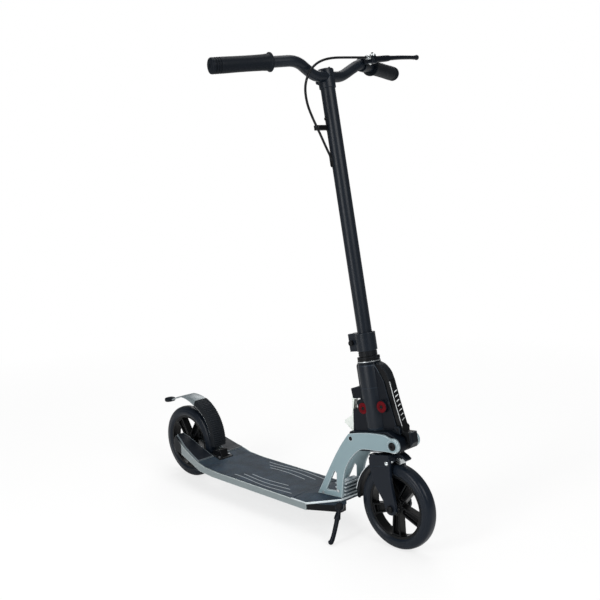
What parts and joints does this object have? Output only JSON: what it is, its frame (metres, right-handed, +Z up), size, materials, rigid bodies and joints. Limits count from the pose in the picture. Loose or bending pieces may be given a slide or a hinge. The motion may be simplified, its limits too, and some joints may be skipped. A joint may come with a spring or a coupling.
{
  "type": "folding kick scooter",
  "caption": "Adult folding kick scooter with large wheels, height-adjustable T-bar, hand brake, foot brake and side stand",
  "frame": {"origin": "on the ground, under the middle of the length and width", "axes": "+X forward, +Y to the left of the rider, +Z up"},
  "size_m": [0.863, 0.538, 1.0068],
  "materials": {
    "deck_silver": "satin anodised",
    "plate_silver": "satin silver-grey paint",
    "grip_grey": "fine grit sheet",
    "black_paint": "satin black",
    "black_plastic": "moulded, matt",
    "grip_rubber": "matt",
    "tyre_pu": "cast polyurethane",
    "core_black": "moulded nylon",
    "steel": "zinc plated",
    "bright": "polished",
    "red": "anodised red",
    "pale_plastic": "moulded",
    "cable_black": "cable sheath"
  },
  "bodies": {
    "deck": {"deck": "deck_silver", "grip_surface": "grip_grey", "neck_base": "grip_grey", "front_cap": "black_plastic", "rear_pad_left": "black_plastic", "rear_pad_right": "black_plastic", "stand_pin": "steel", "side_plate_left": "plate_silver", "side_plate_right": "plate_silver", "hinge_bolt": "steel", "plate_tie": "plate_silver", "deck_screws": "steel", "rear_axle": "steel", "fender_base": "black_plastic"},
    "stand": {"stand_leg": "black_paint", "stand_shoe": "grip_rubber"},
    "rear_wheel": {"rear_tyre": "tyre_pu", "rear_wheel_core": "core_black", "rear_bearings": "steel"},
    "rear_brake": {"rear_fender": "black_plastic", "fender_tip": "grip_rubber", "fender_pad": "black_plastic"},
    "head": {"head_casting": "black_paint", "head_pins": "steel", "red_bolt_caps": "red", "headset_top": "bright", "headset_bottom": "steel"},
    "pedal": {"kick_pedal": "black_plastic", "pedal_nose": "bright"},
    "release_lever": {"release_lever": "pale_plastic"},
    "fork": {"fork": "black_paint", "steerer_tube": "black_paint", "clamp_collar": "black_paint", "steerer_rings": "black_plastic", "clamp_bolt": "steel", "front_mudguard": "black_plastic", "brake_bracket": "black_paint", "front_axle": "steel", "crown_bolts": "bright"},
    "quick_release": {"quick_release_lever": "black_paint"},
    "brake_shoe": {"brake_shoe": "bright"},
    "front_wheel": {"front_tyre": "tyre_pu", "front_wheel_core": "core_black", "front_bearings": "steel"},
    "tbar": {"tbar_tube": "black_paint", "handlebar": "black_paint", "stem_lower": "black_paint", "stem_upper": "black_paint", "stem_bolts": "steel", "grip_left": "grip_rubber", "grip_right": "grip_rubber", "brake_cable": "cable_black", "cable_hook": "black_plastic", "cable_grommet": "black_plastic", "brake_clamp": "black_paint", "barrel_adjuster": "bright", "lever_pin": "steel"},
    "brake_lever": {"brake_lever": "black_paint"}
  },
  "joints": [
    {"name": "fold", "type": "hinge", "parent": "deck", "child": "head", "pos_m": [0.3563, 0, 0.227], "axis": [0, -1, 0], "range_deg": [0, 75]},
    {"name": "steer", "type": "hinge", "parent": "head", "child": "fork", "pos_m": [0.2846, 0, 0.2957], "axis": [-0.1687, 0, 0.9857], "range_deg": [-40, 40]},
    {"name": "height", "type": "slide", "parent": "fork", "child": "tbar", "axis": [-0.1687, 0, 0.9857], "range_m": [-0.15, 0]},
    {"name": "front_wheel_spin", "type": "hinge", "parent": "fork", "child": "front_wheel", "pos_m": [0.3415, 0, 0.09], "axis": [0, 1, 0], "continuous": true},
    {"name": "rear_wheel_spin", "type": "hinge", "parent": "deck", "child": "rear_wheel", "pos_m": [-0.3335, 0, 0.09], "axis": [0, 1, 0], "continuous": true},
    {"name": "hand_brake", "type": "hinge", "parent": "tbar", "child": "brake_lever", "pos_m": [0.19791, 0.116, 0.99206], "axis": [-0.1683, -0.061, 0.9838], "range_deg": [0, 18], "stiffness_Nm_per_rad": 1.5, "springref_deg": -8.59},
    {"name": "shoe_slide", "type": "slide", "parent": "fork", "child": "brake_shoe", "axis": [0.1687, 0, -0.9857], "range_m": [0, 0.0011]},
    {"name": "foot_brake", "type": "hinge", "parent": "deck", "child": "rear_brake", "pos_m": [-0.228, 0, 0.084], "axis": [0, -1, 0], "range_deg": [0, 2.5], "stiffness_Nm_per_rad": 25, "springref_deg": -2.86},
    {"name": "stand_fold", "type": "hinge", "parent": "deck", "child": "stand", "pos_m": [0.22, -0.047, 0.07], "axis": [-0.4585, 0.7356, -0.4987], "range_deg": [0, 74]},
    {"name": "pedal_press", "type": "hinge", "parent": "head", "child": "pedal", "pos_m": [0.35464, 0, 0.25696], "axis": [0, 1, 0], "range_deg": [0, 5], "stiffness_Nm_per_rad": 6, "springref_deg": -5.73},
    {"name": "release_pull", "type": "hinge", "parent": "head", "child": "release_lever", "pos_m": [0.23884, 0, 0.30816], "axis": [0, 1, 0], "range_deg": [0, 10], "stiffness_Nm_per_rad": 0.8, "springref_deg": -11.46},
    {"name": "quick_release_open", "type": "hinge", "parent": "fork", "child": "quick_release", "pos_m": [0.23443, 0.019, 0.41698], "axis": [-0.1687, 0, 0.9857], "range_deg": [0, 100]}
  ],
  "couplings": [
    {"joint": "shoe_slide", "follows": "hand_brake", "m_per_rad": 0.003431}
  ]
}
